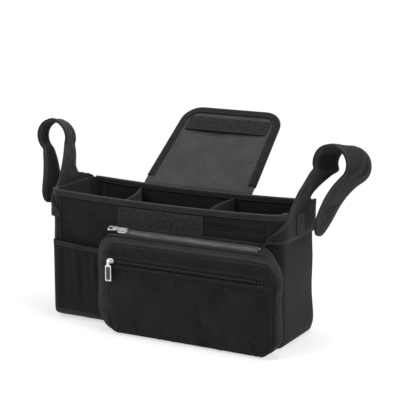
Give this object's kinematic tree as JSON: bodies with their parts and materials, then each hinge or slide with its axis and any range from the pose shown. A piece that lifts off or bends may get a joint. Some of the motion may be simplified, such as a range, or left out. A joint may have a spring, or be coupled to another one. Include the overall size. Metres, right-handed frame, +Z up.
{
  "type": "stroller organizer",
  "caption": "Padded open-top organizer bag that hangs from a stroller's push bar by strap loops, with compartments, an open flap, a mesh pocket and a zipped front pouch.",
  "frame": {"origin": "on the underside, in the middle of the main bag, without the pouch, the flap and the straps", "axes": "+X along the bag to its right as seen from the front, +Y towards its back, where the flap is hinged, +Z up"},
  "size_m": [0.4618, 0.2525, 0.2466],
  "materials": {
    "outer_cloth": "woven charcoal polyester, padded",
    "gusset_cloth": "woven charcoal polyester, a little lighter",
    "lining_cloth": "smooth dark grey lining",
    "black_binding": "black folded tape",
    "loop_patch": "brushed loop pile",
    "hook_patch": "short stiff hooks",
    "mesh": "open black knit mesh",
    "stiff_board": "plain stiff board",
    "coil_tape": "woven tape with a moulded coil",
    "metal_teeth": "silver metal teeth on a black tape",
    "zip_metal": "bright silver plating",
    "pull_insert": "dark brown-black, smooth"
  },
  "bodies": {
    "bag": {"front_panel": "outer_cloth", "back_panel": "outer_cloth", "left_side_panel": "outer_cloth", "right_side_panel": "outer_cloth", "base_panel": "outer_cloth", "base_board": "stiff_board", "front_rim_tape": "black_binding", "back_rim_tape": "black_binding", "left_divider": "lining_cloth", "right_divider": "lining_cloth", "left_strap": "outer_cloth", "right_strap": "outer_cloth", "left_strap_loop_patch": "loop_patch", "right_strap_loop_patch": "loop_patch", "left_strap_hook_patch": "hook_patch", "right_strap_hook_patch": "hook_patch", "flap": "lining_cloth", "flap_binding": "outer_cloth", "flap_hook_patch": "hook_patch", "front_loop_patch": "loop_patch", "mesh_pocket": "mesh", "pocket_hem": "black_binding", "pouch_gusset": "gusset_cloth", "pouch_front_panel": "outer_cloth", "top_zip_upper_tape": "metal_teeth", "top_zip_lower_tape": "metal_teeth", "top_zip_end_stop": "zip_metal", "front_zip_upper_tape": "coil_tape", "front_zip_lower_tape": "coil_tape"},
    "top_slider": {"top_zip_slider": "zip_metal", "top_zip_slider_base": "zip_metal"},
    "top_pull": {"top_zip_pull": "zip_metal"},
    "front_slider": {"front_zip_slider": "zip_metal", "front_zip_slider_base": "zip_metal"},
    "front_pull": {"front_zip_pull": "zip_metal", "front_zip_pull_insert": "pull_insert"}
  },
  "joints": [
    {"name": "top_slide", "type": "slide", "parent": "bag", "child": "top_slider", "axis": [1, 0, 0], "range_m": [0, 0.176]},
    {"name": "top_pull_swing", "type": "hinge", "parent": "top_slider", "child": "top_pull", "pos_m": [-0.048, -0.06035, 0.12552], "axis": [0, 0.8849, 0.4657], "range_deg": [0, 150]},
    {"name": "front_slide", "type": "slide", "parent": "bag", "child": "front_slider", "axis": [1, 0, 0], "range_m": [0, 0.19]},
    {"name": "front_pull_swing", "type": "hinge", "parent": "front_slider", "child": "front_pull", "pos_m": [-0.0495, -0.0883, 0.0915], "axis": [-1, 0, 0], "range_deg": [0, 110]}
  ]
}
